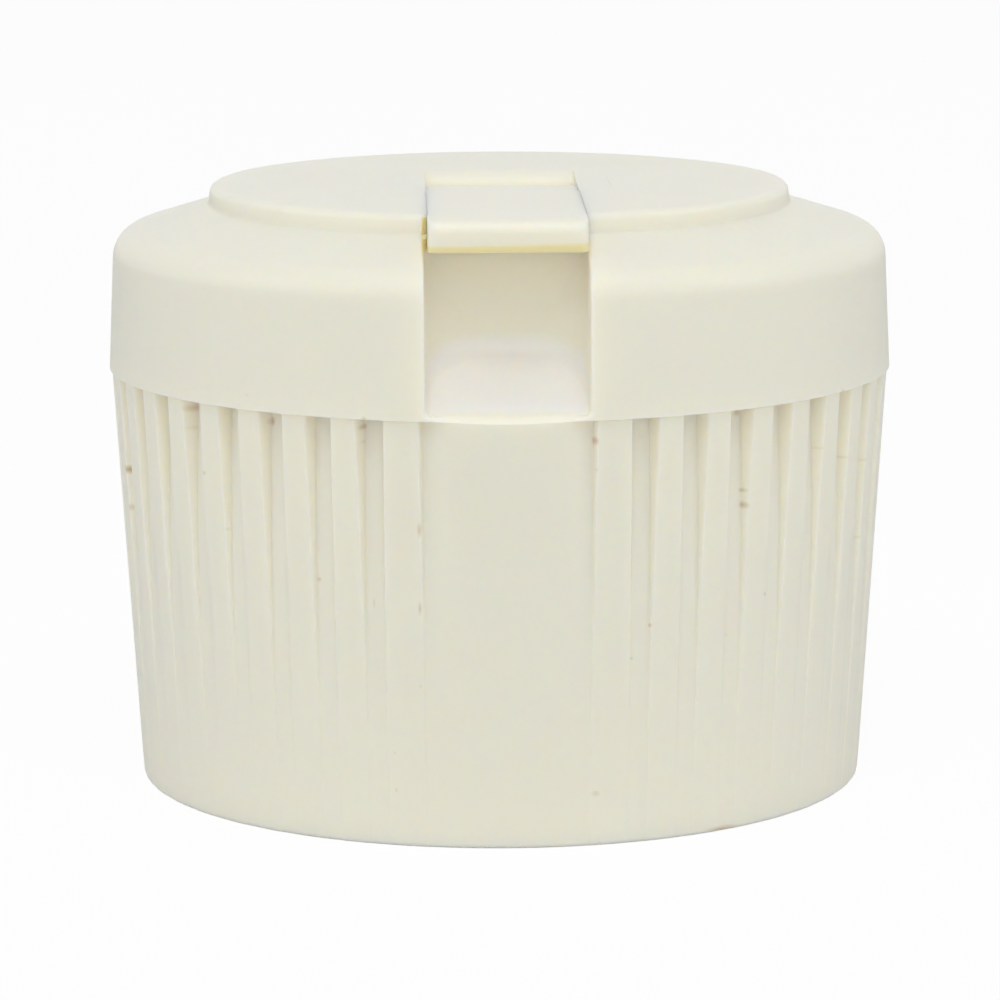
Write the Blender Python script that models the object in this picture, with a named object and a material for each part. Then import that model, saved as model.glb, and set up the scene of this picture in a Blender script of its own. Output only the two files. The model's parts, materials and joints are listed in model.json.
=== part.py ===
"""Flip top cap: a ribbed screw cap whose dispensing spout lies in a channel and turns up to pour.

Metres, +Z up. The origin is the centre of the open mouth, on the floor. The front, with the
finger recess, faces -Y. The spout is modelled shut, and its hinge lies along X.
"""

import math

import bmesh
import bpy
from mathutils import Matrix, Vector

# Inside: neck socket, sealing land and plug lip
NECK_RADIUS = 0.01395
MOUTH_CHAMFER = 0.0004
LAND_DEPTH = 0.00837
SEAL_POCKET = 0.00125
LAND_WIDTH = 0.0018
PLUG_WALL = 0.0007
PLUG_DEPTH = 0.0014
PLUG_TAPER = 0.0003
DECK_THICKNESS = 0.0013
SHOULDER_THICKNESS = 0.0014

# Outside: tapered skirt, band, sloped shoulder and raised deck
SKIRT_WALL = 0.00135
SKIRT_TAPER = 0.0012
SKIRT_HEIGHT = 0.0175
RIM_EDGE = 0.0002
RIB_LEDGE = 0.0001
BAND_TAPER = 0.0003
BAND_CORNER = 0.0013
HEAD_HEIGHT = 0.00767
SHOULDER_WIDTH = 0.0043
SHOULDER_SLOPE = math.radians(17.3)
DECK_RISE = 0.0008
DECK_DRAFT = 0.00005
DECK_EDGE = 0.00035

# Grip: vertical grooves between ribs, with a plain panel at the front
GROOVE_COUNT = 46
PANEL_GROOVE_COUNT = 2
GROOVE_FLOOR_HALF = 0.0004
GROOVE_DRAFT = 0.25
GROOVE_TOP_DEPTH = 0.00085
GROOVE_BASE_DEPTH = 0.00003
GROOVE_FALL = 2.2
PANEL_EDGE_DEPTH = 0.0004
PANEL_EDGE_BLEND = 0.0011
PANEL_CREASE = 0.0001

# Spout: tab, tube, hub and trunnions
SPOUT_WIDTH = 0.0061
TAB_THICKNESS = 0.0013
TAB_REAR = 0.0033
TAB_OVERHANG = 0.0019
TAB_EDGE = 0.00035
TAB_LOW_EDGE = 0.00012
TAB_CORNER = 0.0004
TUBE_RADIUS = 0.00242
TUBE_END_GAP = 0.0005
BORE_RADIUS = 0.0013
HUB_RADIUS = 0.0031
HUB_COVER = 0.0005
TRUNNION_RADIUS = 0.0013
TRUNNION_LENGTH = 0.00145

# Clearances between the spout and the body
SIDE_GAP = 0.00025
HUB_GAP = 0.0003
TRUNNION_GAP = 0.00025
TUBE_GAP = 0.0003
TAB_GAP = 0.0003

# Channel, finger recess and socket in the body
WALL = 0.0011
RECESS_INSET = 0.0002
RECESS_FLOOR_SLOPE = math.radians(27)
RECESS_SIDE_FILLET = 0.0007
RECESS_BACK_FILLET = 0.0013
RECESS_FILLET_HEIGHT = 0.0015
RECESS_CORNER_LOW = 0.0024
RECESS_CORNER_HIGH = 0.0002
SOCKET_LIP = 0.0009
SNAP_GRIP = 0.00015
SNAP_HEIGHT = 0.0004
SLOT_LEAD_IN = 0.00075
PORT_RADIUS = 0.0013

# Facets
TURNED_STEPS = 92
ROUND_STEPS = 48
SMALL_ROUND_STEPS = 24
FILLET_STEPS = 4
GROOVE_LEVELS = (0.0, 0.35, 0.6, 0.8, 1.0)

PLASTIC = (0.80, 0.77, 0.67)

DECK_HEIGHT = SKIRT_HEIGHT + HEAD_HEIGHT
LAND_HEIGHT = DECK_HEIGHT - LAND_DEPTH
BASE_RADIUS = NECK_RADIUS + SKIRT_WALL
BAND_RADIUS = BASE_RADIUS + SKIRT_TAPER
DECK_RADIUS = BAND_RADIUS - SHOULDER_WIDTH
DECK_FOOT_RADIUS = DECK_RADIUS + DECK_DRAFT
SHOULDER_HEIGHT = DECK_HEIGHT - DECK_RISE
BAND_LEAN = math.atan2(BAND_TAPER, SHOULDER_HEIGHT - SKIRT_HEIGHT)
SEAL_OUTER_RADIUS = NECK_RADIUS - SEAL_POCKET
PLUG_RADIUS = SEAL_OUTER_RADIUS - LAND_WIDTH
SEAL_INNER_RADIUS = PLUG_RADIUS - PLUG_WALL
HINGE_HEIGHT = DECK_HEIGHT - HUB_COVER - HUB_RADIUS
SPOUT_HALF = SPOUT_WIDTH / 2
CHANNEL_HALF = SPOUT_HALF + SIDE_GAP
SOCKET_RADIUS = HUB_RADIUS + HUB_GAP
TRUNNION_REACH = SPOUT_HALF + TRUNNION_LENGTH
SLOT_RADIUS = TRUNNION_RADIUS + TRUNNION_GAP
SLOT_REACH = TRUNNION_REACH + SIDE_GAP
SNAP_HALF_GAP = TRUNNION_RADIUS - SNAP_GRIP
TAB_TIP = DECK_RADIUS + TAB_OVERHANG
TAB_UNDERSIDE = DECK_HEIGHT - TAB_THICKNESS
CHANNEL_FLOOR = HINGE_HEIGHT - TUBE_RADIUS - TUBE_GAP
RECESS_BACK = DECK_RADIUS - RECESS_INSET
BACK_WALL_REAR = RECESS_BACK - WALL
TUBE_REACH = BACK_WALL_REAR - TUBE_END_GAP
OVERCUT = 0.002


def clear_scene():
    for item in list(bpy.data.objects):
        bpy.data.objects.remove(item, do_unlink=True)


def plastic(name, roughness):
    """Ivory polypropylene with a soft gloss."""
    material = bpy.data.materials.new(name)
    material.use_nodes = True
    shader = material.node_tree.nodes["Principled BSDF"]
    shader.inputs["Base Color"].default_value = (*PLASTIC, 1.0)
    shader.inputs["Roughness"].default_value = roughness
    shader.inputs["Metallic"].default_value = 0.0
    return material


def add_object(name, bm, material=None):
    """Closes a bmesh into an object with its faces pointing out."""
    bmesh.ops.remove_doubles(bm, verts=bm.verts, dist=1e-7)
    bmesh.ops.recalc_face_normals(bm, faces=bm.faces)
    mesh = bpy.data.meshes.new(name)
    bm.to_mesh(mesh)
    bm.free()
    item = bpy.data.objects.new(name, mesh)
    bpy.context.scene.collection.objects.link(item)
    if material is not None:
        mesh.materials.append(material)
    return item


def as_guide(item):
    """A cutter or a wall that is only used by a Boolean."""
    item.hide_render = True
    item.display_type = "WIRE"
    return item


def arc(centre, radius, start, end, steps):
    """Points of an arc in a plane, in degrees from its first axis."""
    points = []
    for step in range(steps + 1):
        angle = math.radians(start + (end - start) * step / steps)
        points.append((centre[0] + radius * math.cos(angle), centre[1] + radius * math.sin(angle)))
    return points


def turned(name, profile, steps, material=None):
    """Turns a closed profile of (radius, height) points about Z."""
    bm = bmesh.new()
    verts = [bm.verts.new((radius, 0.0, height)) for radius, height in profile]
    edges = [bm.edges.new((verts[i], verts[(i + 1) % len(verts)])) for i in range(len(verts))]
    bmesh.ops.spin(bm, geom=verts + edges, cent=(0, 0, 0), axis=(0, 0, 1),
                   angle=math.tau, steps=steps, use_merge=True)
    return add_object(name, bm, material)


def extruded(name, outline, half_width):
    """Extrudes an outline of (y, z) points to the same distance on both sides of X = 0."""
    bm = bmesh.new()
    verts = [bm.verts.new((-half_width, y, z)) for y, z in outline]
    face = bm.faces.new(verts)
    grown = bmesh.ops.extrude_face_region(bm, geom=[face])["geom"]
    moved = [part for part in grown if isinstance(part, bmesh.types.BMVert)]
    bmesh.ops.translate(bm, verts=moved, vec=(2 * half_width, 0, 0))
    return add_object(name, bm)


def lofted(name, sections):
    """Bridges a row of closed sections, each a list of points, into one closed solid."""
    bm = bmesh.new()
    loops = []
    for section in sections:
        verts = [bm.verts.new(point) for point in section]
        loops.append([bm.edges.new((verts[i - 1], verts[i])) for i in range(len(verts))])
    for before, after in zip(loops, loops[1:]):
        bmesh.ops.bridge_loops(bm, edges=before + after)
    for end in (loops[0], loops[-1]):
        bmesh.ops.edgeloop_fill(bm, edges=end)
    return add_object(name, bm)


def rod(name, radius, start, end, steps, material=None):
    """A cylinder between two points."""
    along = end - start
    place = Matrix.Translation((start + end) / 2) @ along.to_track_quat("Z", "Y").to_matrix().to_4x4()
    bm = bmesh.new()
    bmesh.ops.create_cone(bm, cap_ends=True, segments=steps, radius1=radius, radius2=radius,
                          depth=along.length, matrix=place)
    return add_object(name, bm, material)


def combine(target, other, operation):
    modifier = target.modifiers.new(f"{operation.title()} {other.name}", "BOOLEAN")
    modifier.operation = operation
    modifier.solver = "EXACT"
    modifier.object = as_guide(other)


def rib_radius(height):
    """Radius of the ribs' surface at a height. At their top they lie a little inside the band."""
    return BASE_RADIUS + (SKIRT_TAPER - RIB_LEDGE) * height / SKIRT_HEIGHT


def shoulder_height(radius):
    """Height of the sloped shoulder's surface at a radius."""
    return SHOULDER_HEIGHT - (radius - DECK_FOOT_RADIUS) * math.tan(SHOULDER_SLOPE)


def recess_floor_height(distance):
    """Height of the finger recess's floor at a distance in front of the centre."""
    return SKIRT_HEIGHT + (BAND_RADIUS - distance) * math.tan(RECESS_FLOOR_SLOPE)


def band_corner_centre():
    """Centre of the fillet that touches the shoulder and the band, from lines one radius inside them."""
    slope = math.tan(SHOULDER_SLOPE)
    lean = math.tan(BAND_LEAN)
    level = shoulder_height(0.0) - BAND_CORNER / math.cos(SHOULDER_SLOPE)
    inset = BAND_CORNER / math.cos(BAND_LEAN)
    radius = (BAND_RADIUS - inset - (level - SKIRT_HEIGHT) * lean) / (1 - slope * lean)
    return radius, level - radius * slope


def outside_profile():
    """Half section of the outside, from the centre of the deck down to the rim."""
    deck_edge = arc((DECK_RADIUS - DECK_EDGE, DECK_HEIGHT - DECK_EDGE), DECK_EDGE, 90, 0, 3)
    band_corner = arc(band_corner_centre(), BAND_CORNER, 90 - math.degrees(SHOULDER_SLOPE),
                      math.degrees(BAND_LEAN), FILLET_STEPS)
    rim = arc((BASE_RADIUS - RIM_EDGE, RIM_EDGE), RIM_EDGE, 0, -90, 2)
    return [(0.0, DECK_HEIGHT), *deck_edge, (DECK_FOOT_RADIUS, SHOULDER_HEIGHT), *band_corner,
            (BAND_RADIUS, SKIRT_HEIGHT), (rib_radius(SKIRT_HEIGHT), SKIRT_HEIGHT), *rim]


def inside_profile():
    """Half section of the inside, from the rim up to the centre under the deck."""
    roof = DECK_HEIGHT - DECK_THICKNESS
    return [(NECK_RADIUS + MOUTH_CHAMFER, 0.0),
            (NECK_RADIUS, MOUTH_CHAMFER),
            (NECK_RADIUS, shoulder_height(NECK_RADIUS) - SHOULDER_THICKNESS),
            (SEAL_OUTER_RADIUS, shoulder_height(SEAL_OUTER_RADIUS) - SHOULDER_THICKNESS),
            (SEAL_OUTER_RADIUS, LAND_HEIGHT),
            (PLUG_RADIUS, LAND_HEIGHT),
            (PLUG_RADIUS - PLUG_TAPER, LAND_HEIGHT - PLUG_DEPTH),
            (SEAL_INNER_RADIUS, LAND_HEIGHT - PLUG_DEPTH),
            (SEAL_INNER_RADIUS, roof),
            (0.0, roof)]


def groove_section(level, panel_side):
    """Cross-section of a groove's cutter at a share of the skirt's height, as (sideways, radius) points.

    Panel_side is 0 between two ribs. Beside the panel it is -1 or 1, the side on which the
    groove's floor rises gently to the panel.
    """
    outer = BAND_RADIUS + OVERCUT
    surface = rib_radius(SKIRT_HEIGHT * level)
    top_depth = PANEL_EDGE_DEPTH if panel_side else GROOVE_TOP_DEPTH
    floor = surface - GROOVE_BASE_DEPTH - (top_depth - GROOVE_BASE_DEPTH) * level ** GROOVE_FALL
    side = GROOVE_DRAFT * (outer - floor)
    if not panel_side:
        half = GROOVE_FLOOR_HALF
        return [(half + side, outer), (half, floor), (-half, floor), (-half - side, outer)]
    section = [(PANEL_CREASE + side, outer), (PANEL_CREASE, floor),
               (-PANEL_EDGE_BLEND, surface), (-PANEL_EDGE_BLEND, outer)]
    return [(-panel_side * x, radius) for x, radius in section]


def groove_cutters():
    """One cutter for all the grip grooves, which end under the band."""
    bm = bmesh.new()
    pitch = math.tau / GROOVE_COUNT
    count = GROOVE_COUNT - PANEL_GROOVE_COUNT
    first = (PANEL_GROOVE_COUNT + 1) / 2
    for index in range(count):
        turn = Matrix.Rotation((first + index) * pitch, 3, "Z")
        panel_side = {0: -1, count - 1: 1}.get(index, 0)
        rings = []
        for height, level in [(-OVERCUT, 0.0)] + [(SKIRT_HEIGHT * level, level) for level in GROOVE_LEVELS]:
            section = groove_section(level, panel_side)
            rings.append([bm.verts.new(turn @ Vector((x, -radius, height))) for x, radius in section])
        for low, high in zip(rings, rings[1:]):
            for i in range(len(low)):
                after = (i + 1) % len(low)
                bm.faces.new((low[i], low[after], high[after], high[i]))
        bm.faces.new(rings[0])
        bm.faces.new(rings[-1])
    return add_object("groove_cutters", bm)


def housing():
    """Walls that hang under the deck round the channel and the finger recess."""
    side = CHANNEL_HALF + WALL
    front = NECK_RADIUS + WALL
    under_deck = DECK_HEIGHT - DECK_THICKNESS / 2
    under_shoulder = shoulder_height(front) - SHOULDER_THICKNESS / 2
    floor = CHANNEL_FLOOR - WALL
    outline = [(-front, recess_floor_height(front) - WALL),
               (-front, under_shoulder),
               (-DECK_RADIUS, SHOULDER_HEIGHT - SHOULDER_THICKNESS / 3),
               (-DECK_RADIUS + WALL, under_deck),
               (0.0, under_deck),
               (0.0, floor),
               (-BACK_WALL_REAR, floor),
               (-RECESS_BACK, recess_floor_height(RECESS_BACK) - WALL)]
    return extruded("channel_walls", outline, side)


def socket_block():
    """Round-bottomed block that holds the hub and the trunnions."""
    radius = SOCKET_RADIUS + WALL
    top = DECK_HEIGHT - DECK_THICKNESS / 2
    trough = arc((0, HINGE_HEIGHT), radius, 180, 360, ROUND_STEPS // 2)
    return extruded("socket_walls", [(-radius, top), *trough, (radius, top)], SLOT_REACH + WALL)


def hollow(height, reach, rise):
    """How far a fillet that reaches out and rises by these lengths covers the floor at a height."""
    if height >= rise:
        return 0.0
    return reach * (1 - math.sin(math.acos(1 - height / rise)))


def recess_section(height):
    """U-shaped section of the finger recess at a height over its floor, which leans back."""
    front = -BAND_RADIUS - OVERCUT
    half = CHANNEL_HALF - hollow(height, RECESS_SIDE_FILLET, RECESS_SIDE_FILLET)
    back = -RECESS_BACK - hollow(height, RECESS_BACK_FILLET, RECESS_FILLET_HEIGHT)
    share = min(1.0, height / (TAB_UNDERSIDE - recess_floor_height(RECESS_BACK)))
    corner = RECESS_CORNER_LOW + (RECESS_CORNER_HIGH - RECESS_CORNER_LOW) * share
    right = arc((half - corner, back - corner), corner, 0, 90, FILLET_STEPS)
    outline = [(half, front), *right, *[(-x, y) for x, y in reversed(right)], (-half, front)]
    return [Vector((x, y, height + recess_floor_height(-y))) for x, y in outline]


def recess_cutter():
    """Finger recess: a scoop, open to the front and the top, whose back corners widen downwards."""
    fillet = [RECESS_FILLET_HEIGHT * (1 - math.cos(math.pi / 2 * step / FILLET_STEPS))
              for step in range(FILLET_STEPS + 1)]
    lip = TAB_UNDERSIDE - recess_floor_height(RECESS_BACK)
    heights = fillet + [lip, DECK_HEIGHT + OVERCUT - SKIRT_HEIGHT]
    return lofted("recess_cutter", [recess_section(height) for height in heights])


def channel_cutter():
    """Channel under the tab and its tube, shallow over the recess's back wall."""
    top = DECK_HEIGHT + OVERCUT
    over_wall = TAB_UNDERSIDE - TAB_GAP
    front = RECESS_BACK + RECESS_CORNER_HIGH
    outline = [(-front, top), (-front, over_wall), (-BACK_WALL_REAR, over_wall),
               (-BACK_WALL_REAR, CHANNEL_FLOOR), (0.0, CHANNEL_FLOOR), (0.0, top)]
    return extruded("channel_cutter", outline, CHANNEL_HALF)


def socket_cutter():
    """Round trough for the hub. Its rear edge is rounded, and the raised tab leans back on it."""
    rear = SOCKET_RADIUS + SOCKET_LIP
    trough = arc((0, HINGE_HEIGHT), SOCKET_RADIUS, 180, 360, ROUND_STEPS // 2)
    lip = arc((rear, DECK_HEIGHT - SOCKET_LIP), SOCKET_LIP, 180, 90, FILLET_STEPS)
    top = DECK_HEIGHT + OVERCUT
    outline = [(-SOCKET_RADIUS, top), *trough, *lip, (rear, top)]
    return extruded("socket_cutter", outline, CHANNEL_HALF)


def trunnion_slot_cutter():
    """Keyhole slot: a round seat, a narrow snap neck above it and a wide lead-in at the deck."""
    neck_angle = math.degrees(math.acos(SNAP_HALF_GAP / SLOT_RADIUS))
    neck_height = HINGE_HEIGHT + SLOT_RADIUS * math.sin(math.radians(neck_angle))
    seat = arc((0, HINGE_HEIGHT), SLOT_RADIUS, 180 - neck_angle, 360 + neck_angle, SMALL_ROUND_STEPS)
    above = neck_height + SNAP_HEIGHT
    flare = above + SLOT_RADIUS - SNAP_HALF_GAP
    lead = DECK_HEIGHT - SLOT_LEAD_IN
    half_mouth = SLOT_RADIUS + SLOT_LEAD_IN
    right = [(SNAP_HALF_GAP, above), (SLOT_RADIUS, flare), (SLOT_RADIUS, lead),
             (half_mouth, DECK_HEIGHT), (half_mouth, DECK_HEIGHT + OVERCUT)]
    left = [(-y, z) for y, z in reversed(right)]
    return extruded("trunnion_slot_cutter", seat + right + left, SLOT_REACH)


def port_cutter():
    """Outlet port through the socket's floor, shut by the hub until the spout is raised."""
    hinge = Vector((0, 0, HINGE_HEIGHT))
    below = Vector((0, 0, HINGE_HEIGHT - SOCKET_RADIUS - WALL - OVERCUT))
    return rod("port_cutter", PORT_RADIUS, below, hinge, SMALL_ROUND_STEPS)


def build_cap_body():
    profile = outside_profile() + inside_profile()
    body = turned("cap_body", profile, TURNED_STEPS, plastic("cap_body_plastic", 0.38))
    combine(body, groove_cutters(), "DIFFERENCE")
    combine(body, housing(), "UNION")
    combine(body, socket_block(), "UNION")
    combine(body, recess_cutter(), "DIFFERENCE")
    combine(body, channel_cutter(), "DIFFERENCE")
    combine(body, socket_cutter(), "DIFFERENCE")
    combine(body, trunnion_slot_cutter(), "DIFFERENCE")
    combine(body, port_cutter(), "DIFFERENCE")
    return body


def run_out(distance, radius):
    """How far a rounding of this radius has fallen away at a distance from the edge."""
    if distance >= radius:
        return 0.0
    return radius - math.sqrt(radius ** 2 - (radius - distance) ** 2)


def tab_section(x):
    """Side outline of the tab at a sideways place. The lip's corners are rounded."""
    tip = -TAB_TIP + run_out(SPOUT_HALF - abs(x), TAB_CORNER)
    rear = arc((-TAB_REAR - TAB_EDGE, DECK_HEIGHT - TAB_EDGE), TAB_EDGE, 0, 90, 3)
    tip_top = arc((tip + TAB_EDGE, DECK_HEIGHT - TAB_EDGE), TAB_EDGE, 90, 180, 3)
    tip_low = arc((tip + TAB_LOW_EDGE, TAB_UNDERSIDE + TAB_LOW_EDGE), TAB_LOW_EDGE, 180, 270, 2)
    return [Vector((x, y, z)) for y, z in [(-TAB_REAR, TAB_UNDERSIDE), *rear, *tip_top, *tip_low]]


def spout_tab():
    """The flat tab, whose lip stands over the finger recess."""
    insets = [TAB_CORNER * (1 - math.cos(math.pi / 2 * step / FILLET_STEPS))
              for step in range(FILLET_STEPS + 1)]
    left = [inset - SPOUT_HALF for inset in insets]
    right = [SPOUT_HALF - inset for inset in reversed(insets)]
    return lofted("spout_tab", [tab_section(x) for x in left + right])


def build_spout():
    """The spout, with the origin of each of its parts on the hinge axis."""
    axis = Vector((0, 0, HINGE_HEIGHT))
    half = Vector((SPOUT_HALF, 0, 0))
    pin = Vector((TRUNNION_REACH, 0, 0))
    forward = Vector((0, -1, 0))
    spout = rod("flip_spout", HUB_RADIUS, axis - half, axis + half, ROUND_STEPS,
                plastic("flip_spout_plastic", 0.36))
    pins = rod("trunnion_pins", TRUNNION_RADIUS, axis - pin, axis + pin, SMALL_ROUND_STEPS)
    tube = rod("spout_tube", TUBE_RADIUS, axis, axis + TUBE_REACH * forward, ROUND_STEPS)
    tab = spout_tab()
    bore = rod("spout_bore", BORE_RADIUS, axis - (HUB_RADIUS + OVERCUT) * forward,
               axis + (TUBE_REACH + OVERCUT) * forward, SMALL_ROUND_STEPS)
    for piece in (pins, tube, tab):
        combine(spout, piece, "UNION")
    combine(spout, bore, "DIFFERENCE")
    for item in (spout, pins, tube, tab, bore):
        item.data.transform(Matrix.Translation(-axis))
        item.location = axis
    return spout


def smooth(item):
    item.data.shade_smooth()
    item.data.set_sharp_from_angle(angle=math.radians(35))


def main():
    clear_scene()
    smooth(build_cap_body())
    smooth(build_spout())


main()
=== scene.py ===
# %% [markdown]
# # Flip top cap
#
# The object is a screw-on bottle cap moulded in ivory polypropylene. A ribbed skirt grips the
# fingers, a smooth band and a sloped shoulder carry a raised round deck, and a spout lies flat
# in a channel across the deck. A fingertip in the front recess lifts the spout's lip, and the
# spout turns upright on two trunnions. The whole cap is two mouldings: the body and the spout.
#
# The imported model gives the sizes, the hinge and the motion. This lesson dresses both mouldings
# with finely modelled ones, gives the plastic its finish, and lights it as a pale studio would.

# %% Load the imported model
import json
import math

import bmesh
import bpy
from mathutils import Matrix, Vector

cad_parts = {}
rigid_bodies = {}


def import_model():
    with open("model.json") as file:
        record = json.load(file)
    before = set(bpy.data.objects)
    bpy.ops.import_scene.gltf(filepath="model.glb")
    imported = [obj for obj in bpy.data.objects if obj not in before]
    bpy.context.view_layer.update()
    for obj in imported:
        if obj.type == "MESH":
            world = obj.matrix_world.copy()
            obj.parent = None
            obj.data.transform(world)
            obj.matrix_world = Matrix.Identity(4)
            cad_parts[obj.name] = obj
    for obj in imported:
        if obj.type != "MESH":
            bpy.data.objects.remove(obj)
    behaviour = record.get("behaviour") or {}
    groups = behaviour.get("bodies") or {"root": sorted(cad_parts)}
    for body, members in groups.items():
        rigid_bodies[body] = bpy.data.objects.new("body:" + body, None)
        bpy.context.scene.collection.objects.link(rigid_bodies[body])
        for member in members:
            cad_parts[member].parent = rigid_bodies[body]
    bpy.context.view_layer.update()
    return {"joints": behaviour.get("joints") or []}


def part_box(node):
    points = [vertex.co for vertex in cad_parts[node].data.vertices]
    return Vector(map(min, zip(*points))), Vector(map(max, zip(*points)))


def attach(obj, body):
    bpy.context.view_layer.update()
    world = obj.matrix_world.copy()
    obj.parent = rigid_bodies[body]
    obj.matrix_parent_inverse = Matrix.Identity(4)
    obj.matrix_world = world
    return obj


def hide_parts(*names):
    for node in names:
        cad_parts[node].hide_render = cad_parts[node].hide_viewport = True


for item in list(bpy.data.objects):
    bpy.data.objects.remove(item, do_unlink=True)
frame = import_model()

# %% [markdown]
# ## Sizes
#
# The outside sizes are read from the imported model, so the dressed cap can't drift away from it:
# the deck's height and the band's radius from the body's box, the spout's width and tip from
# the spout's box, and the hinge from the joint. The rest are the moulding's own sizes in metres.

# %% Driving sizes
body_low, body_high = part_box("cap_body")
spout_low, spout_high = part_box("flip_spout")
hinge = Vector(frame["joints"][0]["pos_m"])

DECK_HEIGHT = body_high.z
BAND_RADIUS = body_high.x
TAB_TIP = -spout_low.y
TRUNNION_REACH = spout_high.x

SKIRT_HEIGHT = 0.0175
SKIRT_TAPER = 0.0012
BAND_TAPER = 0.0003
BAND_CORNER = 0.0013
SHOULDER_SLOPE = math.radians(17.3)
DECK_RISE = 0.0008
DECK_RADIUS = 0.0122
DECK_FOOT_RADIUS = 0.01225
DECK_EDGE = 0.00035
DECK_FOOT_FILLET = 0.00015
RIM_EDGE = 0.0002
RIB_LEDGE = 0.0001

BASE_RADIUS = BAND_RADIUS - SKIRT_TAPER
SHOULDER_HEIGHT = DECK_HEIGHT - DECK_RISE
print(f"cap {2000 * BAND_RADIUS:.1f} mm wide and {1000 * DECK_HEIGHT:.2f} mm high, "
      f"hinge at {1000 * hinge.z:.2f} mm")

# %% [markdown]
# ## Small helpers
#
# Every piece starts as a bmesh. One helper closes it into an object, and one applies a Boolean
# straight away, because each moulding is a chain of joins and cuts whose order matters. An arc
# helper gives the points of round stretches, so that no outline is a typed list of points.

# %% Helpers for outlines, pieces and Booleans
def arc(centre, radius, start, end, steps):
    """Points of an arc in a plane, in degrees from its first axis."""
    points = []
    for step in range(steps + 1):
        angle = math.radians(start + (end - start) * step / steps)
        points.append((centre[0] + radius * math.cos(angle), centre[1] + radius * math.sin(angle)))
    return points


def finished(name, bm):
    """Closes a bmesh into an object at the origin with its faces pointing out."""
    bmesh.ops.remove_doubles(bm, verts=bm.verts, dist=1e-7)
    bmesh.ops.recalc_face_normals(bm, faces=bm.faces)
    mesh = bpy.data.meshes.new(name)
    bm.to_mesh(mesh)
    bm.free()
    item = bpy.data.objects.new(name, mesh)
    bpy.context.scene.collection.objects.link(item)
    return item


def combine(target, tool, operation):
    """Joins or cuts the target with the tool, keeps the result and throws the tool away."""
    modifier = target.modifiers.new(operation.title(), "BOOLEAN")
    modifier.operation = operation
    modifier.solver = "EXACT"
    modifier.object = tool
    depsgraph = bpy.context.evaluated_depsgraph_get()
    result = bpy.data.meshes.new_from_object(target.evaluated_get(depsgraph))
    target.modifiers.clear()
    target.data = result
    bpy.data.objects.remove(tool, do_unlink=True)


def extruded(name, outline, half_width, middle=0.0):
    """Extrudes an outline of (y, z) points to the same distance on both sides of a middle plane."""
    bm = bmesh.new()
    verts = [bm.verts.new((middle - half_width, y, z)) for y, z in outline]
    face = bm.faces.new(verts)
    grown = bmesh.ops.extrude_face_region(bm, geom=[face])["geom"]
    moved = [part for part in grown if isinstance(part, bmesh.types.BMVert)]
    bmesh.ops.translate(bm, verts=moved, vec=(2 * half_width, 0, 0))
    return finished(name, bm)


def rod(name, radius, start, end, steps):
    """A cylinder between two points."""
    along = end - start
    place = Matrix.Translation((start + end) / 2) @ along.to_track_quat("Z", "Y").to_matrix().to_4x4()
    bm = bmesh.new()
    bmesh.ops.create_cone(bm, cap_ends=True, segments=steps, radius1=radius, radius2=radius,
                          depth=along.length, matrix=place)
    return finished(name, bm)


def swept(name, sections):
    """Bridges a row of closed sections, each a list of points, into one closed bar."""
    bm = bmesh.new()
    loops = []
    for section in sections:
        verts = [bm.verts.new(point) for point in section]
        loops.append([bm.edges.new((verts[i - 1], verts[i])) for i in range(len(verts))])
    for before, after in zip(loops, loops[1:]):
        bmesh.ops.bridge_loops(bm, edges=before + after)
    for end in (loops[0], loops[-1]):
        bmesh.ops.edgeloop_fill(bm, edges=end)
    return finished(name, bm)

# %% [markdown]
# ## The turned form of the body
#
# The body is round, so its inside and outside are one section turned about the axis: deck,
# shoulder, band, skirt and rim outside, then the neck socket, sealing land and plug lip inside.
# Every edge of a moulding has a small radius that catches the light. The radii are worked into
# the section here, where they are clean. The fillet between shoulder and band is found where
# two lines that run parallel to them, one radius inside, would cross.

# %% The half section
NECK_RADIUS = 0.01395
MOUTH_CHAMFER = 0.0004
DECK_THICKNESS = 0.0013
SHOULDER_THICKNESS = 0.0014
LAND_HEIGHT = 0.0168
SEAL_OUTER_RADIUS = 0.0127
SEAL_INNER_RADIUS = 0.0102
PLUG_RADIUS = 0.0109
PLUG_DEPTH = 0.0014
PLUG_TAPER = 0.0003
GROOVE_CEILING = 0.00004
SKIRT_STEPS = 16
BAND_LEAN = math.atan2(BAND_TAPER, SHOULDER_HEIGHT - SKIRT_HEIGHT)


def rib_radius(height):
    """Radius of the ribs' surface at a height. At their top it lies a little inside the band."""
    return BASE_RADIUS + (SKIRT_TAPER - RIB_LEDGE) * height / SKIRT_HEIGHT


def shoulder_height(radius):
    """Height of the sloped shoulder's surface at a radius."""
    return SHOULDER_HEIGHT - (radius - DECK_FOOT_RADIUS) * math.tan(SHOULDER_SLOPE)


def band_radius(height):
    """Radius of the band's surface at a height."""
    return BAND_RADIUS - (height - SKIRT_HEIGHT) * math.tan(BAND_LEAN)


def band_corner_centre():
    """Centre of the fillet that touches the shoulder and the band."""
    slope, lean = math.tan(SHOULDER_SLOPE), math.tan(BAND_LEAN)
    drop = BAND_CORNER / math.cos(SHOULDER_SLOPE)
    inset = BAND_CORNER / math.cos(BAND_LEAN)
    level = shoulder_height(0.0) - drop
    radius = (BAND_RADIUS - inset - (level - SKIRT_HEIGHT) * lean) / (1 - slope * lean)
    return radius, level - radius * slope


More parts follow.
